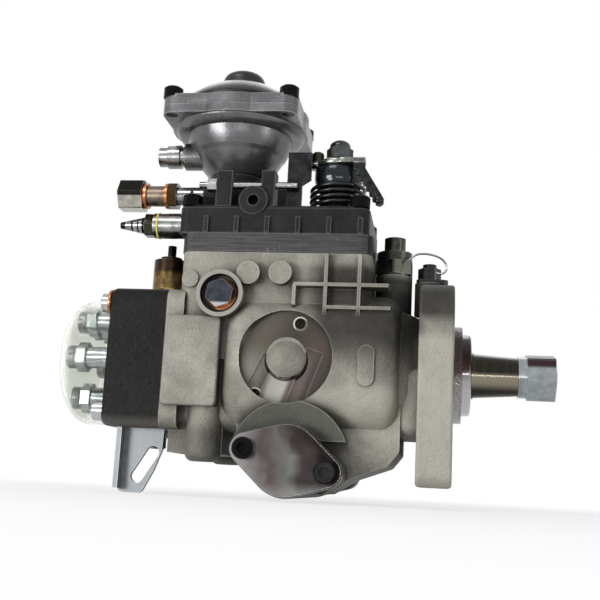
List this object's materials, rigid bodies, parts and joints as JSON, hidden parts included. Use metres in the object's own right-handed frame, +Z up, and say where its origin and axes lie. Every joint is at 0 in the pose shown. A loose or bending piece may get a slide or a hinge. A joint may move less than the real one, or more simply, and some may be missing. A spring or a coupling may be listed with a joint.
{
  "type": "diesel injection pump",
  "caption": "Distributor-type diesel injection pump with a flange, drive shaft, governor, boost compensator and outlets in a ring under a clear cap.",
  "frame": {"origin": "drive shaft axis in the mounting face of the flange", "axes": "+X along the drive shaft out of the pump towards its nut, +Z up towards the boost compensator, -Y towards the side with the machined pocket"},
  "size_m": [0.2564, 0.122, 0.2355],
  "materials": {
    "cast_housing": "sand cast",
    "cast_head": "black phosphated",
    "black_screws": "black oxide",
    "zinc": "zinc plated",
    "ground_steel": "ground",
    "clear_plastic": "moulded",
    "bright_steel": "turned",
    "copper": "soft copper",
    "dark_brass": "aged",
    "dark_cast": "satin",
    "black_plastic": "satin",
    "spring_steel": "oiled",
    "olive_steel": "olive passivated",
    "chrome_ring": "polished",
    "rubber_sheet": "sheet"
  },
  "bodies": {
    "pump_body": {"housing": "cast_housing", "distributor_head": "cast_head", "socket_screws": "black_screws", "centre_plug": "zinc", "valve_holders": "zinc", "delivery_valves": "ground_steel", "outlet_cap": "clear_plastic", "support_bracket": "zinc", "return_bolt": "zinc", "return_spacer": "bright_steel", "sealing_washers": "copper", "return_valve": "bright_steel", "adjusting_screws": "bright_steel", "adjusting_nuts": "zinc", "full_load_sleeve": "bright_steel", "solenoid_body": "dark_brass", "governor_cover": "dark_cast", "boost_lower_shell": "dark_cast", "boost_upper_cover": "dark_cast", "boost_plug": "black_plastic", "boost_fitting": "bright_steel", "boost_spring": "spring_steel", "lever_bracket": "zinc", "throttle_spring": "spring_steel", "inlet_fitting": "olive_steel", "lock_bolt": "zinc", "shaft_seal": "chrome_ring", "cam_ring": "ground_steel", "plunger_springs": "spring_steel", "timing_spring": "spring_steel", "timing_covers": "zinc", "governor_shaft": "ground_steel", "governor_spring": "spring_steel", "pivot_bolts": "zinc", "boost_diaphragm": "rubber_sheet"},
    "drive": {"drive_shaft": "ground_steel", "shaft_nut": "zinc", "spring_washer": "zinc", "vane_rotor": "ground_steel", "vanes": "ground_steel", "drive_gear": "ground_steel", "cam_plate": "ground_steel", "plunger": "ground_steel"},
    "roller_ring": {"roller_ring": "ground_steel", "rollers": "ground_steel"},
    "timing_piston": {"timing_piston": "ground_steel"},
    "governor_cage": {"governor_cage": "ground_steel"},
    "flyweight_1": {"flyweight_1": "ground_steel"},
    "flyweight_2": {"flyweight_2": "ground_steel"},
    "flyweight_3": {"flyweight_3": "ground_steel"},
    "flyweight_4": {"flyweight_4": "ground_steel"},
    "governor_sleeve": {"governor_sleeve": "ground_steel"},
    "governor_lever": {"governor_lever": "ground_steel"},
    "control_sleeve": {"control_sleeve": "ground_steel"},
    "throttle": {"throttle_shaft": "ground_steel", "throttle_lever": "ground_steel", "throttle_nut": "zinc", "throttle_cup": "black_plastic"},
    "boost_pin": {"boost_pin": "ground_steel"},
    "solenoid_armature": {"solenoid_armature": "ground_steel"}
  },
  "joints": [
    {"name": "shaft_turn", "type": "hinge", "parent": "pump_body", "child": "drive", "pos_m": [0, 0, 0], "axis": [1, 0, 0], "continuous": true},
    {"name": "cage_turn", "type": "hinge", "parent": "pump_body", "child": "governor_cage", "pos_m": [-0.06, 0, 0.048], "axis": [1, 0, 0], "continuous": true},
    {"name": "timing_advance", "type": "slide", "parent": "pump_body", "child": "timing_piston", "axis": [0, 1, 0], "range_m": [-0.004, 0.004], "deforming": ["timing_spring"]},
    {"name": "ring_swing", "type": "hinge", "parent": "pump_body", "child": "roller_ring", "pos_m": [-0.077, 0, 0], "axis": [1, 0, 0], "range_deg": [-4.7, 4.7]},
    {"name": "sleeve_slide", "type": "slide", "parent": "pump_body", "child": "governor_sleeve", "axis": [-1, 0, 0], "range_m": [0, 0.0026]},
    {"name": "lever_swing", "type": "hinge", "parent": "pump_body", "child": "governor_lever", "pos_m": [-0.1166, 0, 0.0323], "axis": [0, -1, 0], "range_deg": [0, 9.5], "deforming": ["governor_spring"]},
    {"name": "spill_travel", "type": "slide", "parent": "pump_body", "child": "control_sleeve", "axis": [1, 0, 0], "range_m": [0, 0.00354]},
    {"name": "throttle_turn", "type": "hinge", "parent": "pump_body", "child": "throttle", "pos_m": [-0.0625, -0.012, 0.1], "axis": [0, 0, 1], "range_deg": [0, 45], "stiffness_Nm_per_rad": 0.35, "springref_deg": -17.19, "deforming": ["throttle_spring"]},
    {"name": "boost_travel", "type": "slide", "parent": "pump_body", "child": "boost_pin", "axis": [0, 0, -1], "range_m": [0, 0.004], "stiffness_N_per_m": 2500, "springref_m": -0.004, "deforming": ["boost_spring", "boost_diaphragm"]},
    {"name": "shut_off", "type": "slide", "parent": "pump_body", "child": "solenoid_armature", "axis": [0, 0, 1], "range_m": [0, 0.0015]},
    {"name": "flyweight_swing_1", "type": "hinge", "parent": "governor_cage", "child": "flyweight_1", "pos_m": [-0.065, 0.0128, 0.048], "axis": [0, 0, -1], "range_deg": [0, 18.65]},
    {"name": "flyweight_swing_2", "type": "hinge", "parent": "governor_cage", "child": "flyweight_2", "pos_m": [-0.065, 0, 0.0608], "axis": [0, 1, 0], "range_deg": [0, 18.65]},
    {"name": "flyweight_swing_3", "type": "hinge", "parent": "governor_cage", "child": "flyweight_3", "pos_m": [-0.065, -0.0128, 0.048], "axis": [0, 0, 1], "range_deg": [0, 18.65]},
    {"name": "flyweight_swing_4", "type": "hinge", "parent": "governor_cage", "child": "flyweight_4", "pos_m": [-0.065, 0, 0.0352], "axis": [0, -1, 0], "range_deg": [0, 18.65]}
  ],
  "couplings": [
    {"joint": "cage_turn", "follows": "shaft_turn", "ratio": -1.3077},
    {"joint": "ring_swing", "follows": "timing_advance", "rad_per_m": 20.408},
    {"joint": "lever_swing", "follows": "sleeve_slide", "rad_per_m": 63.694},
    {"joint": "spill_travel", "follows": "sleeve_slide", "ratio": 1.3567},
    {"joint": "flyweight_swing_1", "follows": "sleeve_slide", "rad_per_m": 125},
    {"joint": "flyweight_swing_2", "follows": "sleeve_slide", "rad_per_m": 125},
    {"joint": "flyweight_swing_3", "follows": "sleeve_slide", "rad_per_m": 125},
    {"joint": "flyweight_swing_4", "follows": "sleeve_slide", "rad_per_m": 125}
  ]
}
